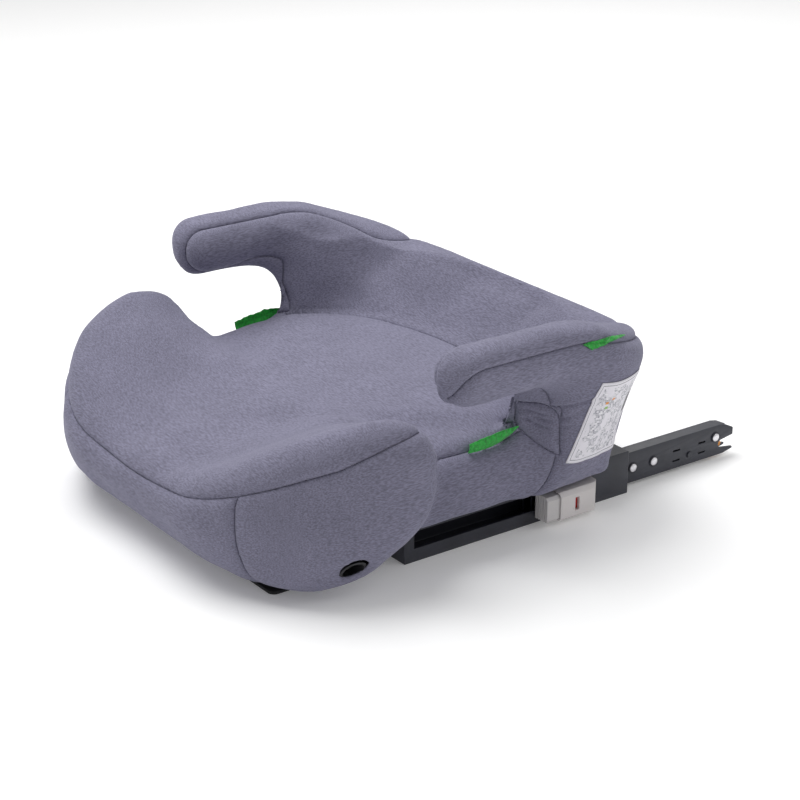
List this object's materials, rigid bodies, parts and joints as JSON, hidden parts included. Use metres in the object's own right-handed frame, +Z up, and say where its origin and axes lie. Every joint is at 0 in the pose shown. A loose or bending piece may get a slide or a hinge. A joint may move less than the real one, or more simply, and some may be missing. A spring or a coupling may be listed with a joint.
{
  "type": "booster seat",
  "caption": "Backless child booster seat with a padded grey cover, armrests, green belt guides and two sliding ISOFIX connectors.",
  "frame": {"origin": "on the floor, on the underside of the front cross channel, in the middle of the seat's width", "axes": "+Z up; +Y towards the backrest of the car seat, where the connectors point; the child faces -Y; +X is the side that carries the label"},
  "size_m": [0.4322, 0.5098, 0.1868],
  "materials": {
    "knit_cover": "flat-knit polyester, heather grey",
    "foam": "moulded polyurethane foam",
    "shell_plastic": "moulded polypropylene",
    "black_plastic": "moulded black plastic",
    "grey_plastic": "moulded light grey plastic",
    "dark_grey_plastic": "moulded grey plastic with ridges",
    "orange_plastic": "moulded orange plastic",
    "red_plastic": "moulded red plastic",
    "black_steel": "black powder-coated pressed steel",
    "zinc_steel": "zinc-plated steel",
    "dark_steel": "dark phosphated steel",
    "green_webbing": "bright green woven tape",
    "label": "white woven label tape",
    "rubber": "black moulded rubber"
  },
  "bodies": {
    "seat": {"front_band": "knit_cover", "rear_cover": "knit_cover", "inner_wall_cover": "knit_cover", "seat_cover_top": "knit_cover", "seat_foam": "foam", "seat_shell": "shell_plastic", "base_plate": "shell_plastic", "cross_channel_front": "black_steel", "cross_channel_rear": "black_steel", "care_label": "label", "notch_gusset_right": "knit_cover", "armrest_cap_right": "knit_cover", "side_panel_right": "knit_cover", "outer_cover_right": "knit_cover", "rail_right": "black_steel", "front_side_panel_right": "knit_cover", "rail_bushing_right": "black_plastic", "lap_belt_guide_right": "green_webbing", "rear_belt_guide_right": "green_webbing", "front_foot_right": "rubber", "socket_liner_right": "black_plastic", "notch_gusset_left": "knit_cover", "armrest_cap_left": "knit_cover", "side_panel_left": "knit_cover", "outer_cover_left": "knit_cover", "rail_left": "black_steel", "front_side_panel_left": "knit_cover", "rail_bushing_left": "black_plastic", "lap_belt_guide_left": "green_webbing", "rear_belt_guide_left": "green_webbing", "front_foot_left": "rubber", "socket_liner_left": "black_plastic"},
    "bar_right": {"isofix_bar_right": "black_steel", "slide_shoe_right": "black_plastic", "hook_pin_right": "zinc_steel", "mid_rivet_right": "zinc_steel", "front_rivet_right": "zinc_steel", "pawl_pin_right": "black_steel", "release_housing_right": "grey_plastic", "button_spring_right": "zinc_steel"},
    "hook_right": {"latch_hook_right": "dark_steel", "trigger_right": "orange_plastic"},
    "button_right": {"release_button_right": "dark_grey_plastic", "release_rod_right": "zinc_steel"},
    "pawl_right": {"pawl_right": "dark_steel"},
    "indicator_right": {"indicator_right": "red_plastic"},
    "bar_left": {"isofix_bar_left": "black_steel", "slide_shoe_left": "black_plastic", "hook_pin_left": "zinc_steel", "mid_rivet_left": "zinc_steel", "front_rivet_left": "zinc_steel", "pawl_pin_left": "black_steel", "release_housing_left": "grey_plastic", "button_spring_left": "zinc_steel"},
    "hook_left": {"latch_hook_left": "dark_steel", "trigger_left": "orange_plastic"},
    "button_left": {"release_button_left": "dark_grey_plastic", "release_rod_left": "zinc_steel"},
    "pawl_left": {"pawl_left": "dark_steel"},
    "indicator_left": {"indicator_left": "red_plastic"}
  },
  "joints": [
    {"name": "bar_slide_right", "type": "slide", "parent": "seat", "child": "bar_right", "axis": [0, 1, 0], "range_m": [-0.11, 0]},
    {"name": "hook_turn_right", "type": "hinge", "parent": "bar_right", "child": "hook_right", "pos_m": [0.14, 0.2855, 0.0205], "axis": [1, 0, 0], "range_deg": [-30, 0]},
    {"name": "button_slide_right", "type": "slide", "parent": "bar_right", "child": "button_right", "axis": [0, 1, 0], "range_m": [0, 0.004], "stiffness_N_per_m": 400},
    {"name": "pawl_turn_right", "type": "hinge", "parent": "bar_right", "child": "pawl_right", "pos_m": [0.14, 0.256, 0.012], "axis": [1, 0, 0], "range_deg": [-23, 0]},
    {"name": "indicator_slide_right", "type": "slide", "parent": "bar_right", "child": "indicator_right", "axis": [0, 1, 0], "range_m": [0, 0.0038]},
    {"name": "bar_slide_left", "type": "slide", "parent": "seat", "child": "bar_left", "axis": [0, 1, 0], "range_m": [-0.11, 0]},
    {"name": "hook_turn_left", "type": "hinge", "parent": "bar_left", "child": "hook_left", "pos_m": [-0.14, 0.2855, 0.0205], "axis": [1, 0, 0], "range_deg": [-30, 0]},
    {"name": "button_slide_left", "type": "slide", "parent": "bar_left", "child": "button_left", "axis": [0, 1, 0], "range_m": [0, 0.004], "stiffness_N_per_m": 400},
    {"name": "pawl_turn_left", "type": "hinge", "parent": "bar_left", "child": "pawl_left", "pos_m": [-0.14, 0.256, 0.012], "axis": [1, 0, 0], "range_deg": [-23, 0]},
    {"name": "indicator_slide_left", "type": "slide", "parent": "bar_left", "child": "indicator_left", "axis": [0, 1, 0], "range_m": [0, 0.0038]}
  ],
  "couplings": [
    {"joint": "pawl_turn_right", "follows": "button_slide_right", "rad_per_m": -100},
    {"joint": "indicator_slide_right", "follows": "hook_turn_right", "m_per_rad": -0.00725},
    {"joint": "pawl_turn_left", "follows": "button_slide_left", "rad_per_m": -100},
    {"joint": "indicator_slide_left", "follows": "hook_turn_left", "m_per_rad": -0.00725}
  ]
}
